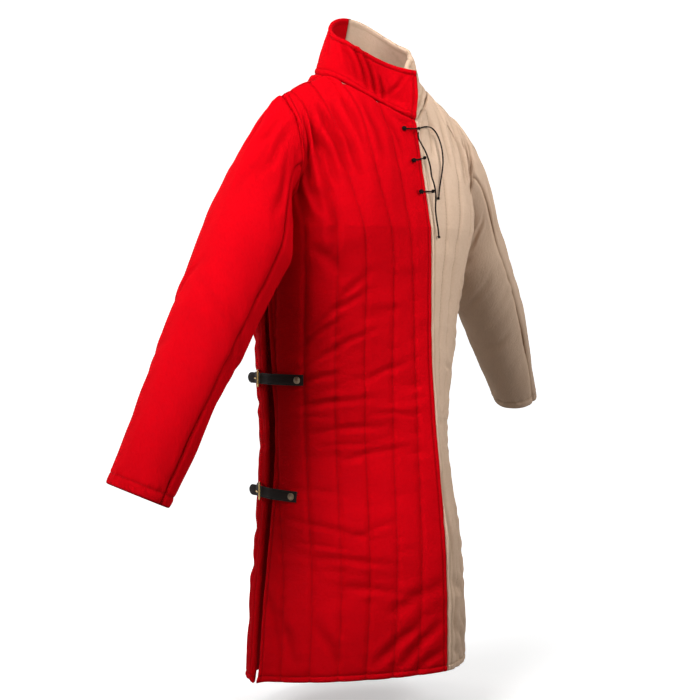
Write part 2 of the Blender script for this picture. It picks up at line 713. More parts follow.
FRONT_FOLDS = (
    Fold((0.196, 0.896), (0.150, 0.806), 0.0078, 0.0075),
    Fold((0.180, 0.912), (0.128, 0.800), 0.0060, 0.0075),
    Fold((0.204, 0.868), (0.168, 0.784), 0.0070, 0.0066),
    Fold((0.244, 0.886), (0.196, 0.742), 0.0066, 0.0070),
    Fold((0.226, 0.902), (0.180, 0.770), 0.0054, 0.0062),
    Fold((0.258, 0.862), (0.206, 0.764), 0.0058, 0.0060),
    Fold((0.206, 0.912), (0.150, 0.830), 0.0036, 0.0070),
    Fold((0.244, 0.818), (0.214, 0.724), 0.0044, 0.0070),
    Fold((0.190, 0.790), (0.172, 0.680), 0.0034, 0.0080),
    Fold((0.158, 0.928), (0.122, 0.850), 0.0030, 0.0070),
    Fold((0.112, 0.918), (0.082, 0.824), 0.0030, 0.0070),
    Fold((0.070, 0.905), (0.036, 0.836), 0.0030, 0.0060),
    Fold((0.040, 0.900), (0.006, 0.868), 0.0026, 0.0050),
    Fold((0.020, 0.892), (0.002, 0.886), 0.0016, 0.0036),
    Fold((0.214, 0.700), (0.150, 0.640), 0.0020, 0.0090),
    Fold((0.236, 0.520), (0.150, 0.582), 0.0026, 0.0060),
    Fold((0.222, 0.548), (0.122, 0.618), 0.0024, 0.0050),
    Fold((0.186, 0.520), (0.100, 0.560), 0.0018, 0.0050),
    Fold((0.176, 0.590), (0.112, 0.652), 0.0016, 0.0060),
    Fold((0.228, 0.494), (0.146, 0.534), 0.0018, 0.0045),
    Fold((0.244, 0.468), (0.150, 0.494), 0.0022, 0.0050),
    Fold((0.228, 0.438), (0.112, 0.452), 0.0018, 0.0046),
    Fold((0.240, 0.420), (0.160, 0.424), 0.0014, 0.0036),
    Fold((0.212, 0.398), (0.082, 0.408), 0.0016, 0.0050),
    Fold((0.196, 0.376), (0.110, 0.380), 0.0012, 0.0040),
    Fold((0.170, 0.352), (0.050, 0.376), 0.0014, 0.0050),
    Fold((0.120, 0.480), (0.046, 0.508), 0.0014, 0.0050),
    Fold((0.112, 0.430), (0.030, 0.424), 0.0012, 0.0044),
    Fold((0.250, 0.310), (0.150, 0.300), 0.0012, 0.0060),
    Fold((0.262, 0.262), (0.110, 0.232), 0.0016, 0.0050),
    Fold((0.246, 0.225), (0.150, 0.216), 0.0012, 0.0036),
    Fold((0.246, 0.205), (0.085, 0.194), 0.0018, 0.0056),
    Fold((0.206, 0.165), (0.050, 0.146), 0.0014, 0.0056),
    Fold((0.160, 0.230), (0.070, 0.266), 0.0012, 0.0050),
    Fold((0.104, 0.118), (0.010, 0.164), 0.0026, 0.0090),
    Fold((0.130, 0.036), (0.050, 0.104), 0.0028, 0.0070),
    Fold((0.092, 0.030), (0.016, 0.100), 0.0030, 0.0070),
    Fold((0.060, 0.026), (0.008, 0.060), 0.0022, 0.0060),
    Fold((0.284, 0.120), (0.244, 0.030), 0.0028, 0.0080),
    Fold((0.306, 0.150), (0.276, 0.050), 0.0026, 0.0070),
    Fold((0.220, 0.110), (0.170, 0.030), 0.0020, 0.0080),
)
# How the left front alone hangs below its last tack: its edge turns in behind the right front.
LEFT_FOLDS = (
    Fold((0.002, 0.330), (0.026, 0.180), 0.0060, 0.0070),
    Fold((0.026, 0.190), (0.030, 0.010), 0.0048, 0.0080),
    Fold((0.070, 0.300), (0.086, 0.060), 0.0030, 0.0110),
)
BACK_FOLDS = (
    Fold((0.240, 0.900), (0.190, 0.770), 0.0034, 0.0070),
    Fold((0.214, 0.910), (0.165, 0.820), 0.0024, 0.0070),
    Fold((0.236, 0.850), (0.206, 0.740), 0.0026, 0.0080),
    Fold((0.010, 0.930), (0.070, 0.860), 0.0018, 0.0080),
    Fold((0.230, 0.560), (0.130, 0.520), 0.0024, 0.0090),
    Fold((0.220, 0.490), (0.100, 0.470), 0.0022, 0.0080),
    Fold((0.200, 0.440), (0.060, 0.430), 0.0022, 0.0080),
    Fold((0.120, 0.500), (0.010, 0.486), 0.0020, 0.0080),
    Fold((0.150, 0.400), (0.020, 0.396), 0.0016, 0.0080),
    Fold((0.220, 0.380), (0.130, 0.360), 0.0016, 0.0080),
    Fold((0.200, 0.230), (0.060, 0.250), 0.0016, 0.0100),
    Fold((0.230, 0.160), (0.110, 0.180), 0.0018, 0.0100),
    Fold((0.110, 0.120), (0.020, 0.100), 0.0015, 0.0090),
)


def line_places(table: Array, height: Array) -> list[Array]:
    """How far each quilting line lies from the centre at these heights, its bends eased over 80 mm."""
    near = (-0.04, -0.02, 0.0, 0.02, 0.04)
    return [sum(np.interp(height + step, table[:, 0], table[:, k]) for step in near) / len(near)
            for k in range(1, table.shape[1])]


def quilted(cut: Cut, lines: Sequence[Array], seed: int) -> tuple[Array, Array, Array]:
    """The channels between quilting lines.

    Args:
        cut: The panel's measures.
        lines: How far each line lies from the first column, at each place.
        seed: Which random pattern.

    Returns:
        (lift, sunk, nearness to a line) at each place.
    """
    rows = [np.zeros_like(cut.across), *lines, cut.across + cut.right]
    lift = np.zeros_like(cut.across)
    near = np.full_like(cut.across, 1.0)
    for left, right in zip(rows[:-1], rows[1:]):
        right = np.minimum(right, cut.across + cut.right)
        width = np.maximum(right - left, 1e-4)
        t = np.clip((cut.across - left) / width, 0, 1)
        here = (cut.across >= left) & (cut.across < right)
        fullness = HAND.puff * np.clip(width / 0.045, 0.1, 1.0)
        lift = np.where(here, fullness * (4 * t * (1 - t)) ** 0.6, lift)
    for line in lines:
        near = np.minimum(near, np.abs(cut.across - line))
    uneven = 1 + 0.35 * ripple(cut.across / 0.05, cut.height / 0.03, seed + 5)
    groove = bell(near, HAND.groove_width)
    return lift * uneven - HAND.groove * groove, 0.5 * bell(near, 0.0018), near


def body_relief(table: Array, folds: Sequence[Fold], seed: int) -> Callable[[Panel], tuple[Array, Array]]:
    """Gives the relief of a body panel: quilting, small puckers along it, and the folds of the hanging coat."""

    def relief(panel: Panel) -> tuple[Array, Array]:
        """The lift and the darkening at each place."""
        cut = panel.cut
        lines = line_places(table, cut.height)
        lift, sunk, near = quilted(cut, lines, seed)
        tilt = cut.height + 0.10 * cut.across
        waist = bell(cut.height - 0.47, 0.15)
        skirt = bell(cut.height - 0.16, 0.11)
        chest = smooth_step((cut.height - 0.60) / 0.15)
        fine = ripple(cut.across / 0.034, tilt / 0.0105, seed) * np.exp(-near / 0.014)
        fine += 0.6 * ripple(cut.across / 0.050, tilt / 0.0170, seed + 1)
        broad = ripple(cut.across / 0.085, tilt / 0.034, seed + 2)
        upright = ripple(cut.across / 0.016, cut.height / 0.11, seed + 3)
        inland = smooth_step(np.minimum(cut.across, cut.right) / 0.020)
        lift += fine * (0.00070 + 0.00095 * waist + 0.00055 * skirt)
        lift += broad * inland * (0.0008 + 0.0006 * waist + 0.0008 * skirt)
        lift += upright * 0.0010 * chest
        for fold in folds:
            more = fold.lift(cut.across, cut.height)
            lift += more
            sunk = np.maximum(sunk, np.clip(-more / 0.0060, 0, 0.45))
        return lift, sunk

    return relief


def sleeve_relief(folds: Sequence[Fold], cuff: float, seed: int) -> Callable[[Panel], tuple[Array, Array]]:
    """Gives the relief of a sleeve piece: soft folds along the arm and puckers at the cuff's stitching."""

    def relief(panel: Panel) -> tuple[Array, Array]:
        """The lift and the darkening at each place."""
        cut = panel.cut
        length = cut.along + cut.high
        lift = 0.0022 * ripple(cut.across / 0.060, cut.along / 0.090, seed)
        lift += 0.0009 * ripple(cut.across / 0.024, cut.along / 0.034, seed + 1)
        head = bell(cut.along, 0.060)
        lift += 0.0010 * head * ripple(cut.across / 0.012, cut.along / 0.050, seed + 2)
        pucker = ripple(cut.across / 0.0075, cut.high / 0.020, seed + 3)
        lift += pucker * 0.0017 * bell(cut.high - cuff, 0.0075)
        elbow = bell(cut.along - 0.52 * length, 0.07)
        lift += 0.0018 * elbow * ripple(cut.across / 0.060, cut.along / 0.018, seed + 4)
        seam_side = np.exp(-np.minimum(cut.across, cut.right) / 0.012)
        lift += 0.0005 * seam_side * ripple(cut.across / 0.02, cut.along / 0.0095, seed + 6)
        sunk = np.zeros_like(lift)
        for fold in folds:
            more = fold.lift(cut.across, cut.along)
            lift += more
            sunk = np.maximum(sunk, np.clip(-more / 0.0060, 0, 0.4))
        return lift, sunk

    return relief


COLLAR_FOLDS = (
    Fold((0.122, 0.084), (0.084, 0.014), 0.0046, 0.0042),
    Fold((0.098, 0.078), (0.068, 0.010), 0.0050, 0.0040),
    Fold((0.066, 0.050), (0.056, 0.010), 0.0046, 0.0038),
    Fold((0.018, 0.070), (0.052, 0.026), 0.0026, 0.0030),
    Fold((0.136, 0.060), (0.104, 0.020), 0.0034, 0.0044),
    Fold((0.150, 0.080), (0.120, 0.020), 0.0022, 0.0050),
    Fold((0.180, 0.088), (0.165, 0.030), 0.0020, 0.0050),
    Fold((0.205, 0.070), (0.215, 0.020), 0.0018, 0.0050),
    Fold((0.030, 0.012), (0.006, 0.016), 0.0014, 0.0030),
)


def collar_relief(seed: int) -> Callable[[Panel], tuple[Array, Array]]:
    """Gives the relief of a collar half: slanting creases and puckers at the neck seam."""

    def relief(panel: Panel) -> tuple[Array, Array]:
        """The lift and the darkening at each place."""
        cut = panel.cut
        lift = 0.0008 * ripple(cut.across / 0.022, cut.along / 0.018, seed)
        lift += 0.0017 * bell(cut.along - 0.004, 0.012) * ripple(cut.across / 0.0075, cut.along / 0.014, seed + 1)
        lift += 0.0006 * bell(cut.high - 0.010, 0.008) * ripple(cut.across / 0.010, cut.along / 0.010, seed + 2)
        row = bell(cut.along - 0.011, 0.0014)
        lift -= 0.0009 * row
        sunk = 0.7 * row
        for fold in COLLAR_FOLDS:
            more = fold.lift(cut.across, cut.along)
            lift += more
            sunk = np.maximum(sunk, np.clip(-more / 0.0060, 0, 0.4))
        return lift, sunk

    return relief


UPPER_FOLDS = (
    Fold((0.212, 0.034), (0.176, 0.140), 0.0036, 0.0070),
    Fold((0.188, 0.030), (0.160, 0.096), 0.0030, 0.0060),
    Fold((0.236, 0.050), (0.226, 0.150), 0.0026, 0.0070),
    Fold((0.150, 0.030), (0.132, 0.110), 0.0026, 0.0070),
    Fold((0.096, 0.040), (0.090, 0.130), 0.0024, 0.0070),
    Fold((0.190, 0.050), (0.150, 0.190), 0.0016, 0.0080),
    Fold((0.060, 0.060), (0.070, 0.200), 0.0018, 0.0080),
    Fold((0.070, 0.330), (0.150, 0.300), 0.0014, 0.0090),
    Fold((0.040, 0.400), (0.120, 0.430), 0.0014, 0.0090),
)
UNDER_FOLDS = (
    Fold((0.020, 0.060), (0.060, 0.072), 0.0026, 0.0050),
    Fold((0.060, 0.090), (0.110, 0.080), 0.0024, 0.0060),
    Fold((0.030, 0.150), (0.100, 0.180), 0.0016, 0.0080),
    Fold((0.080, 0.280), (0.030, 0.300), 0.0014, 0.0080),
)


@dataclass
class Coat:
    """The ten cloth panels of the coat and the stitching along them."""

    red: "ClothFinish"
    ecru: "ClothFinish"
    panels: dict[str, Panel] = field(default_factory=dict)

    def cut_out(self) -> None:
        """Works out every panel's form, and matches them at their seams."""
        front, back = FORM.panel("front"), FORM.panel("back")
        hole = FORM.armhole(front, back)
        pit = len(FORM.rise_shares("front")) - 1
        up = {panel: int(np.argmin(np.abs(FORM.rise_shares(panel) - share)))
              for panel, share in FORM.notch.items()}
        first, last = pit - up["front"], pit + up["back"]
        seam, bound = Edge.SEAM, Edge.BOUND
        for number, side in enumerate(Side):
            name = side.label
            sleeve = FORM.sleeve(hole, ARMS[side])
            upper = np.concatenate([sleeve[:, last:], sleeve[:, : first + 1]], axis=1)
            seed = 40 * number
            self.add(Panel(f"front_{name}", side, front.copy(), -1.0,
                           {"first": bound, "last": bound, "low": bound, "high": seam},
                           body_relief(FRONT_LINES, FRONT_FOLDS + (LEFT_FOLDS if number else ()), 3 + seed),
                           {"low": 0.010, "first": 0.0075}))
            self.add(Panel(f"back_{name}", side, back.copy(), 1.0,
                           {"first": seam, "last": bound, "low": bound, "high": seam},
                           body_relief(BACK_LINES, BACK_FOLDS, 13 + seed), {"low": 0.010}))
            self.add(Panel(f"sleeve_upper_{name}", side, upper, -1.0,
                           {"first": seam, "last": seam, "low": seam, "high": bound},
                           sleeve_relief(UPPER_FOLDS, 0.017, 21 + seed), {"high": 0.017}))
            self.add(Panel(f"sleeve_under_{name}", side, sleeve[:, first : last + 1], -1.0,
                           {"first": seam, "last": seam, "low": seam, "high": bound},
                           sleeve_relief(UNDER_FOLDS, 0.017, 27 + seed), {"high": 0.017}))
            self.add(Panel(f"collar_{name}", side, FORM.collar(side), -1.0,
                           {"first": bound, "last": seam, "low": seam, "high": bound},
                           collar_relief(33 + seed), {"first": 0.0085, "high": 0.0085}))
        match_seams(list(self.panels.values()))

    def add(self, panel: Panel) -> None:
        """Keeps a panel under its node's name."""
        self.panels[panel.node] = panel

    def build(self) -> None:
        """Makes every panel and its stitching."""
        for panel in self.panels.values():
            finish = self.red if panel.side is Side.RIGHT else self.ecru
            panel.build(finish)
        for side in Side:
            finish = self.red if side is Side.RIGHT else self.ecru
            routes = []
            for node, panel in self.panels.items():
                if panel.side is side:
                    routes += stitch_routes(panel)
            thread = ThreadFinish(f"{side.label}_thread", finish.slot, finish.thread)
            obj = StitchRun(f"quilting_stitches_{side.label}", routes).build(thread)
            settle(obj, [])
            log.info("%s: %d lines", obj.name, len(routes))


def stitch_routes(panel: Panel) -> list[Array]:
    """The lines that a panel is stitched along, on its outer face."""
    cut, outer = panel.cut, panel.outer
    routes = []
    table = FRONT_LINES if panel.node.startswith("front") else BACK_LINES
    if panel.node.startswith(("front", "back")):
        for k in range(1, table.shape[1]):
            line = []
            for i in range(4, len(outer) - 5):
                place = float(np.interp(cut.height[i].mean(), table[:, 0], table[:, k]))
                for _ in range(2):
                    height = float(np.interp(place, cut.across[i], cut.height[i]))
                    place = float(np.interp(height, table[:, 0], table[:, k]))
                if place < cut.across[i, -1] - 0.006:
                    line.append([np.interp(place, cut.across[i], outer[i, :, axis]) for axis in range(3)])
            if len(line) > 20:
                routes.append(np.array(line))
    measured = (("low", cut.along, 0), ("high", cut.high, 0), ("first", cut.across, 1), ("last", cut.right, 1))
    for name, away, axis in measured:
        if panel.edges[name] is not Edge.BOUND:
            continue
        band = panel.band.get(name, HAND.band)
        line = []
        span = outer.shape[1] if axis == 0 else outer.shape[0]
        for j in range(3, span - 3, 2):
            distance = away[:, j] if axis == 0 else away[j]
            points = outer[:, j] if axis == 0 else outer[j]
            order = np.argsort(distance)
            line.append([np.interp(band, distance[order], points[order, axis3]) for axis3 in range(3)])
        routes.append(np.array(line))
    return [route - ORIGIN for route in routes]


# ---------------------------------------------------------------- repeated stitches


@dataclass
class StitchRun:
    """Running stitches along lines on the cloth, made by a node tree."""

    name: str
    routes: list[Array]
    pitch: float = 0.0052
    length: float = 0.0034
    radius: float = 0.00036

    def build(self, finish: "ThreadFinish") -> bpy.types.Object:
        """Makes the stitches as one plain mesh.

        Args:
            finish: The thread.

        Returns:
            The mesh object.
        """
        curve = bpy.data.curves.new(f"{self.name}_lines", "CURVE")
        curve.dimensions = "3D"
        for route in self.routes:
            spline = curve.splines.new("POLY")
            spline.points.add(len(route) - 1)
            spline.points.foreach_set("co", np.column_stack([route, np.ones(len(route))]).ravel())
        guide = bpy.data.objects.new(f"{self.name}_lines", curve)
        bpy.context.scene.collection.objects.link(guide)
        material = finish.material()
        tree, sockets = stitch_tree()
        modifier = guide.modifiers.new("stitches", "NODES")
        modifier.node_group = tree
        for key, value in (("Pitch", self.pitch), ("Stitch length", self.length), ("Thread radius", self.radius),
                           ("Thread", material)):
            modifier[sockets[key]] = value
        return as_mesh(guide, self.name)


def as_mesh(source: bpy.types.Object, name: str) -> bpy.types.Object:
    """Turns an object's evaluated shape into a plain mesh object, and removes the source."""
    graph = bpy.context.evaluated_depsgraph_get()
    graph.update()
    shape = source.evaluated_get(graph)
    mesh = bpy.data.meshes.new_from_object(shape, preserve_all_data_layers=True, depsgraph=graph)
    mesh.name = name
    bpy.data.objects.remove(source, do_unlink=True)
    obj = bpy.data.objects.new(name, mesh)
    bpy.context.scene.collection.objects.link(obj)
    return obj


def tree_with_inputs(name: str, inputs: Sequence[tuple[str, str]]) -> tuple[bpy.types.NodeTree, dict[str, str]]:
    """A geometry node tree with these named inputs.

    Args:
        name: The tree's name.
        inputs: The name and the socket type of each input.

    Returns:
        The tree, and each input's identifier by name.
    """
    tree = bpy.data.node_groups.new(name, "GeometryNodeTree")
    tree.interface.new_socket("Geometry", in_out="INPUT", socket_type="NodeSocketGeometry")
    tree.interface.new_socket("Geometry", in_out="OUTPUT", socket_type="NodeSocketGeometry")
    sockets = {}
    for label, kind in inputs:
        sockets[label] = tree.interface.new_socket(label, in_out="INPUT", socket_type=kind).identifier
    return tree, sockets


def stitch_tree() -> tuple[bpy.types.NodeTree, dict[str, str]]:
    """The tree that lays one slim bead of thread at each pitch along the lines."""
    tree, sockets = tree_with_inputs("running_stitch", (
        ("Pitch", "NodeSocketFloat"), ("Stitch length", "NodeSocketFloat"), ("Thread radius", "NodeSocketFloat"),
        ("Thread", "NodeSocketMaterial")))
    nodes, links = tree.nodes, tree.links
    start, end = nodes.new("NodeGroupInput"), nodes.new("NodeGroupOutput")
    spots = nodes.new("GeometryNodeCurveToPoints")
    spots.mode = "LENGTH"
    bead = nodes.new("GeometryNodeMeshIcoSphere")
    bead.inputs["Radius"].default_value = 1.0
    bead.inputs["Subdivisions"].default_value = 1
    turn = nodes.new("FunctionNodeAlignRotationToVector")
    turn.axis = "Z"
    half = nodes.new("ShaderNodeMath")
    half.operation = "MULTIPLY"
    half.inputs[1].default_value = 0.5
    size = nodes.new("ShaderNodeCombineXYZ")
    lay = nodes.new("GeometryNodeInstanceOnPoints")
    real = nodes.new("GeometryNodeRealizeInstances")
    smooth = nodes.new("GeometryNodeSetShadeSmooth")
    dress = nodes.new("GeometryNodeSetMaterial")
    links.new(start.outputs["Geometry"], spots.inputs["Curve"])
    links.new(start.outputs["Pitch"], spots.inputs["Length"])
    links.new(spots.outputs["Tangent"], turn.inputs["Vector"])
    links.new(start.outputs["Stitch length"], half.inputs[0])
    links.new(start.outputs["Thread radius"], size.inputs["X"])
    links.new(start.outputs["Thread radius"], size.inputs["Y"])
    links.new(half.outputs[0], size.inputs["Z"])
    links.new(spots.outputs["Points"], lay.inputs["Points"])
    links.new(bead.outputs["Mesh"], lay.inputs["Instance"])
    links.new(turn.outputs["Rotation"], lay.inputs["Rotation"])
    links.new(size.outputs["Vector"], lay.inputs["Scale"])
    links.new(lay.outputs["Instances"], real.inputs["Geometry"])
    links.new(real.outputs["Geometry"], smooth.inputs["Geometry"])
    links.new(smooth.outputs["Geometry"], dress.inputs["Geometry"])
    links.new(start.outputs["Thread"], dress.inputs["Material"])
    links.new(dress.outputs["Geometry"], end.inputs["Geometry"])
    return tree, sockets


# ---------------------------------------------------------------- finishes


@dataclass(frozen=True)
class Wire:
    """A node socket that can be used in plain arithmetic; each operator adds its Math node."""

    shader: "Shader"
    socket: bpy.types.NodeSocket

    def math(self, operation: str, *others: "Wire | float") -> "Wire":
        """Adds a Math node on this value and the others."""
        return self.shader.node("ShaderNodeMath", {"operation": operation}, dict(enumerate((self, *others))))

    def __add__(self, other: "Wire | float") -> "Wire":
        """The sum."""
        return self.math("ADD", other)

    __radd__ = __add__

    def __mul__(self, other: "Wire | float") -> "Wire":
        """The product."""
        return self.math("MULTIPLY", other)

    __rmul__ = __mul__

    def __sub__(self, other: "Wire | float") -> "Wire":
        """The difference."""
        return self.math("SUBTRACT", other)

    def __rsub__(self, other: float) -> "Wire":
        """A number less this value."""
        return (self * -1.0).math("ADD", other)

    def sine(self) -> "Wire":
        """The sine."""
        return self.math("SINE")

    def kept(self) -> "Wire":
        """The value held between 0 and 1."""
        return self.math("MINIMUM", 1.0).math("MAXIMUM", 0.0)


class Shader:
    """A material's node tree, built through one method."""

    def __init__(self, name: str) -> None:
        """Starts a material with only its output and its Principled shader."""
        self.material = bpy.data.materials.new(name)
        self.material.use_nodes = True
        self.tree = self.material.node_tree
        self.body = self.tree.nodes["Principled BSDF"]

    def node(self, kind: str, settings: dict[str, object], inputs: dict[object, object], out: object = 0) -> Wire:
        """Adds a node.

        Args:
            kind: The node's type.
            settings: Its own properties, set first.
            inputs: Values or wires by socket name or number.
            out: The output socket that is returned.

        Returns:
            The chosen output.
        """
        made = self.tree.nodes.new(kind)
        for key, value in settings.items():
            setattr(made, key, value)
        for key, value in inputs.items():
            if isinstance(value, Wire):
                self.tree.links.new(value.socket, made.inputs[key])
            else:
                made.inputs[key].default_value = value
        return Wire(self, made.outputs[out])

    def set(self, **values: object) -> None:
        """Sets or links sockets of the Principled shader, with _ for each space in a name."""
        for key, value in values.items():
            socket = self.body.inputs[key.replace("_", " ")]
            if isinstance(value, Wire):
                self.tree.links.new(value.socket, socket)
            else:
                socket.default_value = value

    def place(self, output: str = "Object") -> Wire:
        """The object's coordinates, or another output of Texture Coordinate."""
        return self.node("ShaderNodeTexCoord", {}, {}, output)

    def noise(self, at: Wire, scale: float, detail: float = 3.0, rough: float = 0.55) -> Wire:
        """Smooth noise from 0 to 1."""
        values = {"Vector": at, "Scale": scale, "Detail": detail, "Roughness": rough}
        return self.node("ShaderNodeTexNoise", {}, values)

    def mixed(self, amount: Wire | float, one: object, other: object) -> Wire:
        """A colour between two."""
        made = self.tree.nodes.new("ShaderNodeMix")
        made.data_type = "RGBA"
        for socket, value in zip((made.inputs[0], made.inputs[6], made.inputs[7]), (amount, one, other)):
            if isinstance(value, Wire):
                self.tree.links.new(value.socket, socket)
            else:
                socket.default_value = value
        return Wire(self, made.outputs[2])

    def bump(self, height: Wire, distance: float, strength: float, under: Wire | None = None) -> Wire:
        """A normal bent by a height."""
        values: dict[object, object] = {"Height": height, "Distance": distance, "Strength": strength}
        if under is not None:
            values["Normal"] = under
        return self.node("ShaderNodeBump", {}, values)


Colour = tuple[float, float, float, float]


@dataclass(frozen=True)
class ClothFinish:
    """Plain-woven cotton over wadding."""

    name: str
    slot: str
    tone: Colour
    deep: Colour
    pale: Colour
    thread: Colour
    weave_pitch: float = 0.0011
    sheen: float = 0.06

    def material(self) -> bpy.types.Material:
        """The cloth's material, made once."""
        found = bpy.data.materials.get(self.name)
        if found:
            return found
        shader = Shader(self.name)
        flat = shader.place("UV")
        parts = shader.tree.nodes.new("ShaderNodeSeparateXYZ")
        shader.tree.links.new(flat.socket, parts.inputs[0])
        across, along = Wire(shader, parts.outputs[0]), Wire(shader, parts.outputs[1])
        turns = 2 * math.pi / self.weave_pitch
        weave = (across * turns).sine() * (along * turns).sine()
        slub_up = shader.node("ShaderNodeMapping", {}, {"Vector": flat, "Scale": (900.0, 60.0, 1.0)})
        slub_across = shader.node("ShaderNodeMapping", {}, {"Vector": flat, "Scale": (70.0, 800.0, 1.0)})
        slubs = shader.noise(slub_up, 1.0, 2.0) * 0.5 + shader.noise(slub_across, 1.0, 2.0) * 0.5
        crumple = shader.noise(flat, 210.0, 4.0, 0.6)
        sunk = shader.node("ShaderNodeAttribute", {"attribute_name": "sunk"}, {}, "Fac")
        worn = shader.noise(shader.place(), 7.0, 4.0, 0.6)
        tone = shader.mixed((slubs * 1.4 - 0.2).kept() * 0.5, self.tone, self.pale)
        shade = ((worn - 0.35) * 0.9).kept() * 0.50 + ((crumple - 0.45) * 1.6).kept() * 0.30
        tone = shader.mixed(shade, tone, self.deep)
        tone = shader.mixed((sunk * 0.75).kept(), tone, self.deep)
        bent = shader.bump(weave * 0.30 + slubs * 0.9, 0.00035, 0.55)
        bent = shader.bump(crumple, 0.0014, 0.70, bent)
        shader.set(Base_Color=tone, Roughness=0.82 + slubs * 0.14, Normal=bent)
        shader.set(Sheen_Weight=self.sheen, Sheen_Roughness=0.5, Sheen_Tint=self.tone, Specular_IOR_Level=0.01)
        return shader.material


@dataclass(frozen=True)
class ThreadFinish:
    """Sewing thread in a cloth's colour."""

    name: str
    slot: str
    tone: Colour

    def material(self) -> bpy.types.Material:
        """The thread's material."""
        shader = Shader(self.name)
        twist = shader.noise(shader.place(), 900.0, 2.0)
        dark = tuple(0.55 * part for part in self.tone[:3]) + (1.0,)
        shader.set(Base_Color=shader.mixed(twist, dark, self.tone), Roughness=0.6 + twist * 0.2)
        shader.set(Normal=shader.bump(twist, 0.0002, 0.4), Specular_IOR_Level=0.1)
        return shader.material


@dataclass(frozen=True)
class LeatherFinish:
    """Dark brown oiled strap leather."""

    name: str = "strap_leather"
    slot: str = "leather"
    tone: Colour = (0.005, 0.0026, 0.0018, 1.0)
    worn: Colour = (0.024, 0.012, 0.007, 1.0)

    def material(self) -> bpy.types.Material:
        """The leather's material, made once."""
        found = bpy.data.materials.get(self.name)
        if found:
            return found
        shader = Shader(self.name)
        at = shader.place()
        grain = shader.node("ShaderNodeTexVoronoi", {}, {"Vector": at, "Scale": 850.0}, "Distance")
        pores = shader.noise(at, 420.0, 4.0)
        patches = shader.noise(at, 60.0, 3.0)
        rub = shader.node("ShaderNodeAttribute", {"attribute_name": "rub"}, {}, "Fac")
        tone = shader.mixed((patches - 0.3).kept() * 0.5 + rub * 0.7, self.tone, self.worn)
        shader.set(Base_Color=tone, Roughness=0.46 + pores * 0.22)
        shader.set(Normal=shader.bump(grain * 0.6 + pores * 0.4, 0.0004, 0.5), Specular_IOR_Level=0.10)
        return shader.material


@dataclass(frozen=True)
class BrassFinish:
    """Aged cast brass, darker where it isn't rubbed."""

    name: str
    tone: Colour
    dull: Colour
    slot: str = "brass"
    roughness: float = 0.30

    def material(self) -> bpy.types.Material:
        """The brass's material, made once."""
        found = bpy.data.materials.get(self.name)
        if found:
            return found
        shader = Shader(self.name)
        at = shader.place()
        stain = shader.noise(at, 260.0, 4.0, 0.65)
        pits = shader.noise(at, 1400.0, 3.0)
        tone = shader.mixed((stain * 1.8 - 0.5).kept(), self.tone, self.dull)
        shader.set(Base_Color=tone, Metallic=1.0, Roughness=self.roughness + stain * 0.25)
        shader.set(Normal=shader.bump(pits, 0.0002, 0.35))
        return shader.material


@dataclass(frozen=True)
class LaceFinish:
    """Waxed dark brown braided lace."""

    name: str = "braided_lace"
    slot: str = "lace_cord"
    tone: Colour = (0.003, 0.002, 0.002, 1.0)
    pale: Colour = (0.016, 0.009, 0.008, 1.0)

    def material(self) -> bpy.types.Material:
        """The lace's material, made once."""
        found = bpy.data.materials.get(self.name)
        if found:
            return found
        shader = Shader(self.name)
        flat = shader.place("UV")
        parts = shader.tree.nodes.new("ShaderNodeSeparateXYZ")
        shader.tree.links.new(flat.socket, parts.inputs[0])
        turn, along = Wire(shader, parts.outputs[0]), Wire(shader, parts.outputs[1])
        one = (turn * (6 * math.pi) + along * BRAID_TURN).sine()
        other = (turn * (6 * math.pi) - along * BRAID_TURN).sine()
        strands = (one * other * 0.5 + 0.5).kept()
        fibre = shader.noise(shader.place(), 1500.0, 3.0)
        shader.set(Base_Color=shader.mixed(strands * 0.6 + fibre * 0.25, self.tone, self.pale))
        shader.set(Roughness=0.62 + fibre * 0.2, Normal=shader.bump(strands + fibre * 0.3, 0.0004, 0.7),
                   Specular_IOR_Level=0.05)
        return shader.material


# ---------------------------------------------------------------- straps, buckles and rivets


def directions_across(points: Array, up: Array) -> Array:
    """The directions across a line, square to it and to the way out of the cloth."""
    along = np.gradient(points, axis=0)
    along /= np.linalg.norm(along, axis=1, keepdims=True)
    side = np.cross(along, up)
    return side / np.linalg.norm(side, axis=1, keepdims=True)


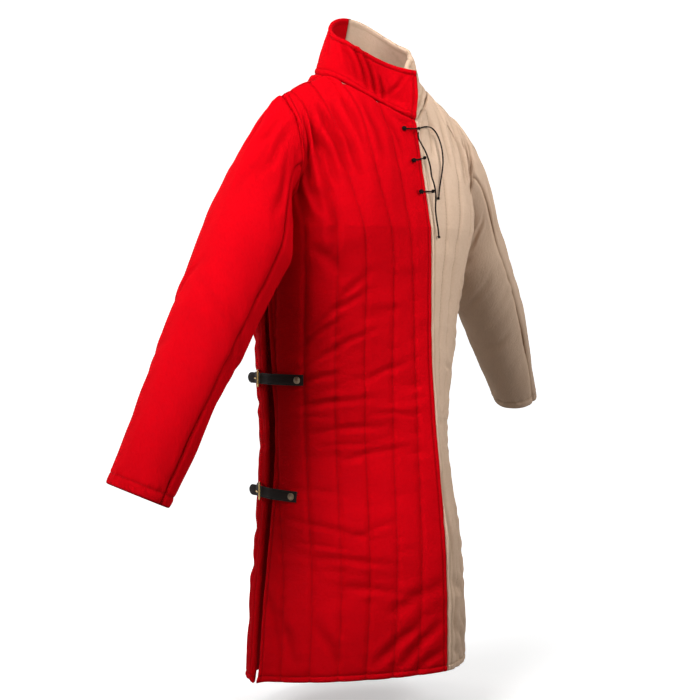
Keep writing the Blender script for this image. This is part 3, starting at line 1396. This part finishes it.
def tube(name: str, points: Array, radii: Array | float, sides: int, closed: bool = False,
         knurl: float = 0.0) -> bpy.types.Object:
    """A round tube along a line, with rounded ends where it is open.

    Args:
        name: The object's name.
        points: The line.
        radii: Its radius, or one at each point.
        sides: How many faces round it.
        closed: Whether the line is a loop.
        knurl: How deep the strands of a braid stand, as a share of the radius.

    Returns:
        The tube, with a UV map of turns and metres.
    """
    count = len(points)
    radii = np.full(count, radii) if np.isscalar(radii) else np.asarray(radii)
    if closed:
        along = np.roll(points, -1, axis=0) - np.roll(points, 1, axis=0)
    else:
        along = np.gradient(points, axis=0)
    along = along / np.linalg.norm(along, axis=1, keepdims=True)
    frame_one = np.cross(along[0], (0.13, 0.29, 0.95))
    frame_one /= np.linalg.norm(frame_one)
    normals = [frame_one]
    for k in range(1, count):
        turned = normals[-1] - along[k] * normals[-1].dot(along[k])
        normals.append(turned / np.linalg.norm(turned))
    normal = np.array(normals)
    if closed:
        last = normal[-1] - along[0] * normal[-1].dot(along[0])
        last /= np.linalg.norm(last)
        slip = math.atan2(float(np.cross(last, normal[0]).dot(along[0])), float(last.dot(normal[0])))
        share = np.linspace(0, slip, count)[:, None]
        normal = normal * np.cos(share) + np.cross(along, normal) * np.sin(share)
    other = np.cross(along, normal)
    run = lengths_along(points)
    angle = np.linspace(0, 2 * math.pi, sides, endpoint=False)
    rings = []
    for k in range(count):
        swell = 1 + knurl * np.sin(3 * angle + run[k] * BRAID_TURN) * np.sin(3 * angle - run[k] * BRAID_TURN)
        ring = np.outer(np.cos(angle), normal[k]) + np.outer(np.sin(angle), other[k])
        rings.append(points[k] + ring * (radii[k] * swell)[:, None])
    made = [tuple(p) for ring in rings for p in ring]
    faces: list[tuple[int, ...]] = []
    for k in range(count if closed else count - 1):
        a, b = k * sides, ((k + 1) % count) * sides
        faces += [(a + j, a + (j + 1) % sides, b + (j + 1) % sides, b + j) for j in range(sides)]
    if not closed:
        for end, direction in ((0, -1.0), (count - 1, 1.0)):
            base = len(made)
            made += [tuple(points[end] + along[end] * direction * radii[end] * 0.45 +
                           (p - points[end]) * 0.72) for p in rings[end]]
            made.append(tuple(points[end] + along[end] * direction * radii[end] * 0.62))
            ring = [end * sides + j for j in range(sides)]
            for j in range(sides):
                n = (j + 1) % sides
                face = (ring[j], ring[n], base + n, base + j)
                cap = (base + j, base + n, base + sides)
                faces += [face, cap] if direction > 0 else [face[::-1], cap[::-1]]
    obj = new_mesh(name, np.array(made), faces)
    caps = np.zeros(len(made) - count * sides)
    turn, length = np.tile(np.arange(sides) / sides, count), np.repeat(run, sides)
    lay_flat(obj, np.append(turn, caps), np.append(length, caps))
    return obj


@dataclass
class StrapSet:
    """A riveted strap, the buckle that it is fastened in, and the short chape that holds the buckle."""

    name: str
    side: Side
    height: float
    drop: float
    reach: float
    tail: float = 0.040
    tail_lift: float = 0.45
    width: float = 0.0175
    thick: float = 0.0026
    low: float = 0.0018
    high: float = 0.0056
    chape_start: float = 0.0225
    chape_length: float = 0.038
    buckle_height: float = 0.028
    buckle_length: float = 0.018
    buckle_start: float = 0.0030
    wire: float = 0.0030
    clear: float = 0.0010
    touch: float = 0.0004

    def __post_init__(self) -> None:
        """Finds the cloth's line under the strap."""
        shares = np.linspace(0, 1, 192)
        front = FORM.body_row("front", self.height, shares)
        back = FORM.body_row("back", self.height, shares)[::-1]
        from_side = lengths_along(front)[-1] - lengths_along(front)
        kept = from_side < self.reach
        line = np.vstack([front[kept], back[lengths_along(back) < self.tail + self.chape_length]])
        self.run = lengths_along(line)
        self.back_start = float(self.run[int(kept.sum())])
        line[:, 2] = self.height - self.drop * np.clip(1 - self.run / self.back_start, 0, 1)
        along = np.gradient(line, axis=0)
        out = np.column_stack([-along[:, 1], along[:, 0], np.zeros(len(line))])
        out /= -np.linalg.norm(out, axis=1, keepdims=True)
        if (out[:, 0] * line[:, 0]).sum() < 0:
            out = -out
        for _ in range(40):
            out[1:-1] = (out[:-2] + out[1:-1] + out[2:]) / 3
        out /= np.linalg.norm(out, axis=1, keepdims=True)
        self.line = (line - ORIGIN) * (self.side.value, 1, 1)
        self.out = out * (self.side.value, 1, 1)

    @property
    def label(self) -> str:
        """The end of its nodes' names."""
        return f"{self.name}_{self.side.label}"

    def read(self, places: Array) -> tuple[Array, Array]:
        """Points and outward directions at these lengths along the line."""
        point = np.stack([np.interp(places, self.run, self.line[:, k]) for k in range(3)], axis=1)
        away = np.stack([np.interp(places, self.run, self.out[:, k]) for k in range(3)], axis=1)
        return point, away / np.linalg.norm(away, axis=1, keepdims=True)

    def band(self, name: str, middle: Array, away: Array, rounded: bool) -> bpy.types.Object:
        """A flat leather strip with eased edges, a creased line near each of them, and a rounded tip.

        Args:
            name: The object's name.
            middle: The line along its middle.
            away: The way out of the cloth at each point.
            rounded: Whether its last end is cut to a tongue.

        Returns:
            The strip.
        """
        side = directions_across(middle, away)
        half, deep = self.width / 2, self.thick / 2
        profile = [(-1.0, -0.45), (-1.0, 0.35), (-0.965, 0.78), (-0.90, 0.98), (-0.80, 0.98), (-0.765, 0.80),
                   (-0.73, 0.98), (-0.40, 1.02), (0.0, 1.03), (0.40, 1.02), (0.73, 0.98), (0.765, 0.80),
                   (0.80, 0.98), (0.90, 0.98), (0.965, 0.78), (1.0, 0.35), (1.0, -0.45), (0.95, -0.90),
                   (0.0, -0.98), (-0.95, -0.90)]
        run = lengths_along(middle)
        points, rub = [], []
        for k, (centre, out) in enumerate(zip(middle, away)):
            narrow = 1.0
            if rounded:
                left = (run[-1] - run[k]) / (half * 1.15)
                narrow = math.sqrt(max(0.06, 1 - (1 - min(left, 1.0)) ** 2))
            for u, v in profile:
                points.append(centre + side[k] * u * half * narrow + out * v * deep)
                rub.append(1.0 if abs(u) > 0.93 and v > 0.2 else 0.0)
        size = len(profile)
        faces: list[tuple[int, ...]] = []
        for k in range(len(middle) - 1):
            a, b = k * size, (k + 1) * size
            faces += [(a + j, a + (j + 1) % size, b + (j + 1) % size, b + j) for j in range(size)]
        for base, direction in ((0, 1), ((len(middle) - 1) * size, -1)):
            points.append(np.mean(points[base : base + size], axis=0))
            rub.append(0.6)
            tip = len(points) - 1
            ring = [(base + (j + 1) % size, base + j, tip)[::direction] for j in range(size)]
            faces += ring
        obj = new_mesh(name, np.array(points), faces)
        face_out(obj)
        obj.data.attributes.new("rub", "FLOAT", "POINT").data.foreach_set("value", np.array(rub, np.float32))
        return obj

    def build(self, leather: LeatherFinish, brass: BrassFinish) -> list[tuple[Array, Array]]:
        """Makes the strap, the chape, the buckle and its prong.

        Args:
            leather: The straps' finish.
            brass: The buckle's finish.

        Returns:
            Where the two rivets stand: the point under each cap and the way it faces.
        """
        places = np.linspace(0, self.back_start + self.tail, 72)
        point, away = self.read(places)
        rise = np.interp(places, [0, self.back_start * 0.7], [self.low, self.high]) + self.thick / 2
        past = np.clip(places - self.back_start - self.chape_start, 0, None)
        rise += self.tail_lift * past
        strap = self.band(f"side_strap_{self.label}", point + away * rise[:, None], away, True)
        strap.data.materials.append(leather.material())
        settle(strap, [f"strap_{self.label}"])
        spots = []
        seat, facing = self.read(np.array([places[2] + 0.0065]))
        start = float(np.interp(places[2] + 0.0065, places, rise))
        spots.append((seat[0] + facing[0] * (start + self.thick / 2 * 1.02), facing[0]))

        places = self.back_start + self.chape_start + np.linspace(0, self.chape_length, 36)
        point, away = self.read(places)
        chape = self.band(f"chape_{self.label}_leather", point + away * (self.clear + self.thick / 2), away, True)
        chape.data.materials.append(leather.material())
        settle(chape, [f"chape_{self.label}"])
        spots.append((point[29] + away[29] * (self.clear + self.thick * 1.01), away[29]))
        self.build_buckle(brass)
        return spots

    def build_buckle(self, brass: BrassFinish) -> None:
        """The rounded square frame and the tapered prong across it."""
        ends = self.back_start + self.buckle_start + np.array((0, self.buckle_length - self.wire))
        point, away = self.read(ends)
        front = point[0] + away[0] * (self.high + self.thick + self.clear + self.wire / 2)
        rear = point[1] + away[1] * (self.high - self.clear - self.wire / 2)
        up = np.array((0, 0, 1.0))
        half = self.buckle_height / 2 - self.wire / 2
        soft = 0.0034
        along = (rear - front) / np.linalg.norm(rear - front)
        corners = [(front, -1), (rear, -1), (rear, 1), (front, 1)]
        towards = [(up, along), (-along, up), (-up, -along), (along, -up)]
        path = []
        for (base, sign), (one, two) in zip(corners, towards):
            corner = base + up * sign * half
            for t in np.linspace(0, 1, 7):
                eased = (1 - t) ** 2 * (corner + one * soft) + 2 * t * (1 - t) * corner
                path.append(eased + t**2 * (corner + two * soft))
        frame_obj = tube(f"buckle_frame_{self.label}", np.array(path), self.wire / 2 * 1.04, 12, closed=True)
        frame_obj.data.materials.append(brass.material())
        settle(frame_obj, [f"buckle_{self.label}"])
        top = front + away[0] * (self.wire / 2 + self.touch + 0.0009)
        steps = np.linspace(0, 1, 14)[:, None]
        lifted = np.sin(steps * math.pi) * 0.0006
        line = top - along * 0.0030 + along * steps * 0.0140 + away[0] * (steps * 0.0034 + lifted)
        radii = np.interp(np.linspace(0, 1, 14), [0, 0.12, 1.0], [0.0007, 0.0009, 0.0012])
        prong = tube(f"buckle_prong_{self.label}", line, radii, 10)
        prong.data.materials.append(brass.material())
        settle(prong, [f"prong_{self.label}"])


def face_out(obj: bpy.types.Object) -> None:
    """Turns a closed mesh's faces outward."""
    made = bmesh.new()
    made.from_mesh(obj.data)
    bmesh.ops.recalc_face_normals(made, faces=made.faces)
    made.to_mesh(obj.data)
    made.free()


@dataclass
class Rivets:
    """Every rivet of the straps: a domed cap on a washer, made by a node tree."""

    spots: list[tuple[Array, Array]]
    radius: float = 0.0058
    height: float = 0.0021

    def build(self, brass: BrassFinish, nodes: Sequence[str]) -> bpy.types.Object:
        """Makes the rivets as one plain mesh that stands for their solids."""
        mesh = bpy.data.meshes.new("rivet_spots")
        mesh.from_pydata([tuple(spot) for spot, _ in self.spots], [], [])
        facing = mesh.attributes.new("facing", "FLOAT_VECTOR", "POINT")
        facing.data.foreach_set("vector", np.array([way for _, way in self.spots], np.float32).ravel())
        source = bpy.data.objects.new("rivet_spots", mesh)
        bpy.context.scene.collection.objects.link(source)
        tree, sockets = rivet_tree()
        modifier = source.modifiers.new("rivets", "NODES")
        modifier.node_group = tree
        for key, value in (("Cap radius", self.radius), ("Cap height", self.height), ("Metal", brass.material())):
            modifier[sockets[key]] = value
        obj = as_mesh(source, "strap_rivets")
        settle(obj, nodes)
        return obj


def rivet_tree() -> tuple[bpy.types.NodeTree, dict[str, str]]:
    """The tree that stands a domed cap on a thin washer at each point, facing its own way."""
    tree, sockets = tree_with_inputs("domed_rivet", (
        ("Cap radius", "NodeSocketFloat"), ("Cap height", "NodeSocketFloat"), ("Metal", "NodeSocketMaterial")))
    nodes, links = tree.nodes, tree.links
    start, end = nodes.new("NodeGroupInput"), nodes.new("NodeGroupOutput")
    dome = nodes.new("GeometryNodeMeshUVSphere")
    dome.inputs["Segments"].default_value = 24
    dome.inputs["Rings"].default_value = 12
    dome.inputs["Radius"].default_value = 1.0
    squash = nodes.new("GeometryNodeTransform")
    size = nodes.new("ShaderNodeCombineXYZ")
    slim = nodes.new("ShaderNodeMath")
    slim.operation = "MULTIPLY"
    slim.inputs[1].default_value = 0.80
    washer = nodes.new("GeometryNodeMeshCylinder")
    washer.inputs["Vertices"].default_value = 28
    washer.inputs["Depth"].default_value = 0.0009
    both = nodes.new("GeometryNodeJoinGeometry")
    way = nodes.new("GeometryNodeInputNamedAttribute")
    way.data_type = "FLOAT_VECTOR"
    way.inputs["Name"].default_value = "facing"
    turn = nodes.new("FunctionNodeAlignRotationToVector")
    turn.axis = "Z"
    lay = nodes.new("GeometryNodeInstanceOnPoints")
    real = nodes.new("GeometryNodeRealizeInstances")
    smooth = nodes.new("GeometryNodeSetShadeSmooth")
    dress = nodes.new("GeometryNodeSetMaterial")
    links.new(start.outputs["Cap radius"], slim.inputs[0])
    links.new(slim.outputs[0], size.inputs["X"])
    links.new(slim.outputs[0], size.inputs["Y"])
    links.new(start.outputs["Cap height"], size.inputs["Z"])
    links.new(dome.outputs["Mesh"], squash.inputs["Geometry"])
    links.new(size.outputs["Vector"], squash.inputs["Scale"])
    links.new(start.outputs["Cap radius"], washer.inputs["Radius"])
    links.new(washer.outputs["Mesh"], both.inputs["Geometry"])
    links.new(squash.outputs["Geometry"], both.inputs["Geometry"])
    links.new(start.outputs["Geometry"], lay.inputs["Points"])
    links.new(both.outputs["Geometry"], lay.inputs["Instance"])
    links.new(way.outputs["Attribute"], turn.inputs["Vector"])
    links.new(turn.outputs["Rotation"], lay.inputs["Rotation"])
    links.new(lay.outputs["Instances"], real.inputs["Geometry"])
    links.new(real.outputs["Geometry"], smooth.inputs["Geometry"])
    links.new(smooth.outputs["Geometry"], dress.inputs["Geometry"])
    links.new(start.outputs["Metal"], dress.inputs["Material"])
    links.new(dress.outputs["Geometry"], end.inputs["Geometry"])
    return tree, sockets


# ---------------------------------------------------------------- laces

# how far left of the centre front, height, how far proud of the cloth
LACE_ENDS = {
    "long": np.array([
        (-0.0045, 0.8725, 0.0062), (-0.0060, 0.8640, 0.0070), (-0.0038, 0.8550, 0.0080), (0.0005, 0.8430, 0.0098),
        (0.0065, 0.8300, 0.0102), (0.0105, 0.8170, 0.0090), (0.0122, 0.8030, 0.0070), (0.0125, 0.7900, 0.0092),
        (0.0120, 0.7780, 0.0102), (0.0110, 0.7640, 0.0088), (0.0102, 0.7490, 0.0060), (0.0098, 0.7325, 0.0056),
        (0.0106, 0.7190, 0.0056), (0.0122, 0.7080, 0.0056),
    ]),
    "short": np.array([
        (0.0040, 0.8808, 0.0056), (0.0150, 0.8832, 0.0066), (0.0290, 0.8850, 0.0076), (0.0405, 0.8840, 0.0078),
        (0.0490, 0.8790, 0.0076), (0.0538, 0.8700, 0.0072), (0.0560, 0.8580, 0.0066), (0.0558, 0.8455, 0.0060),
        (0.0522, 0.8300, 0.0056), (0.0450, 0.8135, 0.0056), (0.0362, 0.7975, 0.0056), (0.0285, 0.7820, 0.0056),
        (0.0235, 0.7700, 0.0056),
    ]),
}  # fmt: skip

# height, reach on the right half, reach on the left half, height at the left end
TIES = np.array([
    (0.8780, 0.0275, -0.0020, 0.8790), (0.8265, 0.0215, 0.0035, 0.8320), (0.7765, 0.0165, 0.0120, 0.7785),
])  # fmt: skip


@dataclass
class Laces:
    """The three ties across the chest, their knots and the two free ends."""

    finish: LaceFinish
    diameter: float = 0.0024
    proud: float = 0.0052
    surface: Array = field(init=False)

    def __post_init__(self) -> None:
        """Takes the outside of the front that the laces lie on."""
        self.surface = FORM.panel("front")[:, ::2].reshape(-1, 3)

    def spot(self, sideways: float, height: float, proud: float) -> Array:
        """A point this far left of the centre front, proud of the cloth."""
        away = (self.surface[:, 0] + abs(sideways)) ** 2 + (self.surface[:, 2] - height) ** 2
        near = np.argsort(away)[:4]
        share = 1 / (away[near] + 1e-8)
        y = float((self.surface[near, 1] * share).sum() / share.sum())
        return np.array((sideways, y - proud, height)) - ORIGIN

    def route(self, points: Array, step: float) -> Array:
        """An even line on a smooth curve through the points."""
        keys = lengths_along(points)
        table = np.column_stack([keys, points])
        dense = np.array([read_table(table, key)[1:] for key in np.linspace(0, keys[-1], 400)])
        count = max(3, round(lengths_along(dense)[-1] / step))
        return places_on(dense, np.linspace(0, 1, count + 1))

    def build_ends(self) -> None:
        """The two free ends, each with its end knot."""
        for name, table in LACE_ENDS.items():
            rough = self.route(np.array([self.spot(*row) for row in table]), self.diameter * 2.4)
            line = self.route(rough, 0.0010)
            lace = tube(f"lace_{name}", line, self.diameter / 2, 12, knurl=0.10)
            lace.data.materials.append(self.finish.material())
            settle(lace, [f"lace_end_{name}"])
            last = (line[-1] - line[-2]) / np.linalg.norm(line[-1] - line[-2])
            knot = self.tied(f"lace_{name}_stop_knot", line[-1] + last * 0.0026, last, 0.72)
            settle(knot, [f"lace_end_knot_{name}"])

    def tied(self, name: str, centre: Array, along: Array, size: float = 1.0) -> bpy.types.Object:
        """A small overhand knot pulled tight.

        Args:
            name: The object's name.
            centre: Its middle.
            along: The way the lace runs through it.
            size: Its size against a tie's knot.

        Returns:
            The knot.
        """
        t = np.linspace(0, 2 * math.pi, 90, endpoint=False)
        radius = 0.00150 * size
        ring = radius * (1.15 + 0.55 * np.cos(3 * t))
        shape = np.column_stack([ring * np.cos(2 * t), ring * np.sin(2 * t), 1.15 * radius * np.sin(3 * t)])
        along = along / np.linalg.norm(along)
        side = np.cross(along, (0.2, 1.0, 0.1))
        side /= np.linalg.norm(side)
        basis = np.array([side, np.cross(along, side), along])
        obj = tube(name, centre + shape @ basis, 0.00112 * size, 10, closed=True, knurl=0.08)
        obj.data.materials.append(self.finish.material())
        return obj

    def build_ties(self) -> None:
        """The short laces that hold the chest closed."""
        for number, (height, right_reach, left_reach, left_height) in enumerate(TIES, 1):
            right = self.spot(-right_reach, height, self.proud)
            left = self.spot(left_reach, left_height, self.proud)
            along = (left - right) / np.linalg.norm(left - right)
            clear = along * 0.0018
            middle = self.spot((left_reach - right_reach) / 2, (height + left_height) / 2, self.proud)
            line = self.route(np.array([right + clear, middle, left - clear]), 0.0010)
            tie = tube(f"chest_tie_{number}", line, self.diameter / 2, 12, knurl=0.10)
            tie.data.materials.append(self.finish.material())
            settle(tie, [f"lace_tie_{number}"])
            near = self.tied(f"chest_knot_right_{number}", right, along, 1.15)
            settle(near, [f"lace_knot_right_{number}"])
            far = self.tied(f"chest_knot_left_{number}", left, along, 0.85)
            settle(far, [f"lace_knot_left_{number}"])


# ---------------------------------------------------------------- studio


@dataclass(frozen=True)
class Studio:
    """The camera, the floor and soft light."""

    camera_at: tuple[float, float, float] = (-1.9422, -1.8256, -0.3520)
    heading: float = 46.0
    lens: float = 83.314
    shift: float = 0.0714
    floor_height: float = -1.02

    def place_camera(self) -> None:
        """Stands the camera level, three quarters round the coat's right front."""
        data = bpy.data.cameras.new("studio_camera")
        data.lens, data.sensor_width = self.lens, 36.0
        data.shift_y = -self.shift
        data.clip_end = 200.0
        camera = bpy.data.objects.new("studio_camera", data)
        camera.location = self.camera_at
        camera.rotation_euler = (math.radians(90), 0.0, -math.radians(self.heading))
        bpy.context.scene.collection.objects.link(camera)
        bpy.context.scene.camera = camera

    def light(self, name: str, at: tuple[float, float, float], size: float, power: float, spread: float) -> None:
        """A square soft light that faces the coat, its beam this many degrees wide."""
        data = bpy.data.lights.new(name, "AREA")
        data.shape, data.size, data.energy, data.spread = "SQUARE", size, power, math.radians(spread)
        obj = bpy.data.objects.new(name, data)
        obj.location = at
        way = np.array((-0.18, -0.1, -0.12)) - np.array(at)
        obj.rotation_euler = turn_towards(way)
        bpy.context.scene.collection.objects.link(obj)

    def build(self) -> None:
        """Makes the floor, the pale surround and the lights."""
        shader = Shader("pale_floor")
        away = shader.node("ShaderNodeVectorMath", {"operation": "LENGTH"}, {0: shader.place()}, "Value")
        far = shader.node("ShaderNodeMapRange", {"interpolation_type": "SMOOTHSTEP"}, {0: away, 1: 0.35, 2: 1.7})
        speckle = shader.noise(shader.place(), 3.0, 2.0)
        shader.set(Base_Color=shader.mixed(speckle, (0.74, 0.74, 0.74, 1.0), (0.78, 0.78, 0.78, 1.0)), Roughness=0.9,
                   Emission_Color=shader.mixed(far, (0.0, 0.0, 0.0, 1.0), (1.0, 1.0, 1.0, 1.0)),
                   Emission_Strength=0.92)
        floor = new_mesh("floor", np.array([(-20, -20, 0), (20, -20, 0), (20, 20, 0), (-20, 20, 0)]) +
                         (0, 0, self.floor_height), [(0, 1, 2, 3)])
        floor.data.materials.append(shader.material)
        glow = Shader("lit_backdrop")
        cloudy = glow.noise(glow.place(), 0.5)
        glow.set(Base_Color=glow.mixed(cloudy, (0.50, 0.50, 0.50, 1.0), (0.52, 0.52, 0.52, 1.0)),
                 Emission_Color=(1.0, 1.0, 1.0, 1.0), Emission_Strength=1.0)
        corners = [(-4.0, 14.0, -1.5), (14.0, -4.6, -1.5), (14.0, -4.6, 12), (-4.0, 14.0, 12)]
        wall = new_mesh("backdrop", np.array(corners), [(3, 2, 1, 0)])
        wall.data.materials.append(glow.material)
        floor.visible_diffuse = wall.visible_diffuse = False
        world = bpy.data.worlds.new("surround")
        world.use_nodes = True
        world.node_tree.nodes["Background"].inputs["Color"].default_value = (1.0, 1.0, 1.0, 1.0)
        world.node_tree.nodes["Background"].inputs["Strength"].default_value = 0.20
        bpy.context.scene.world = world
        self.light("key", (-1.45, -0.30, 1.20), 1.0, 7.0, 60.0)
        self.light("side", (-2.10, 0.25, 0.35), 1.0, 8.0, 110.0)
        self.light("fill", (0.30, -2.20, 0.80), 1.0, 4.5, 60.0)
        self.light("far_side", (1.30, -1.70, 0.60), 1.0, 1.5, 60.0)
        self.light("back_left", (1.60, 1.70, 0.80), 1.2, 3.0, 60.0)
        self.light("back_right", (-0.60, 2.30, 0.80), 1.2, 2.2, 60.0)
        bpy.context.scene.view_settings.view_transform = "Standard"


def turn_towards(way: Array) -> tuple[float, float, float]:
    """The turn that points an object's -Z this way."""
    return tuple(Vector(tuple(float(v) for v in way)).to_track_quat("-Z", "Y").to_euler())


def main() -> None:
    """Builds the coat, its fastenings and the studio round it."""
    logging.basicConfig(level=logging.INFO, format="%(message)s")
    studio = Studio()
    studio.place_camera()
    laces = Laces(LaceFinish())
    laces.build_ends()
    laces.build_ties()

    red = ClothFinish("red_cotton", "red_cloth", (0.520, 0.0006, 0.0040, 1.0), (0.230, 0.0004, 0.0016, 1.0),
                      (0.640, 0.0016, 0.0080, 1.0), (0.400, 0.0006, 0.0024, 1.0))
    ecru = ClothFinish("ecru_cotton", "ecru_cloth", (0.660, 0.470, 0.340, 1.0), (0.400, 0.255, 0.165, 1.0),
                       (0.740, 0.560, 0.420, 1.0), (0.520, 0.370, 0.255, 1.0))
    coat = Coat(red, ecru)
    coat.cut_out()
    coat.build()

    leather = LeatherFinish()
    brass = BrassFinish("aged_brass", (0.62, 0.43, 0.16, 1.0), (0.30, 0.19, 0.07, 1.0))
    antique = BrassFinish("antique_rivet", (0.20, 0.15, 0.10, 1.0), (0.07, 0.05, 0.035, 1.0), roughness=0.38)
    spots, nodes = [], []
    for side in Side:
        for name, height, drop, reach in (("upper", 0.480, 0.001, 0.065), ("lower", 0.298, 0.004, 0.052)):
            straps = StrapSet(name, side, height, drop, reach)
            spots += straps.build(leather, brass)
            nodes += [f"rivet_front_{straps.label}", f"rivet_back_{straps.label}"]
            log.info("strap set %s", straps.label)
    Rivets(spots).build(antique, nodes)
    studio.build()


if __name__ == "__main__":
    main()
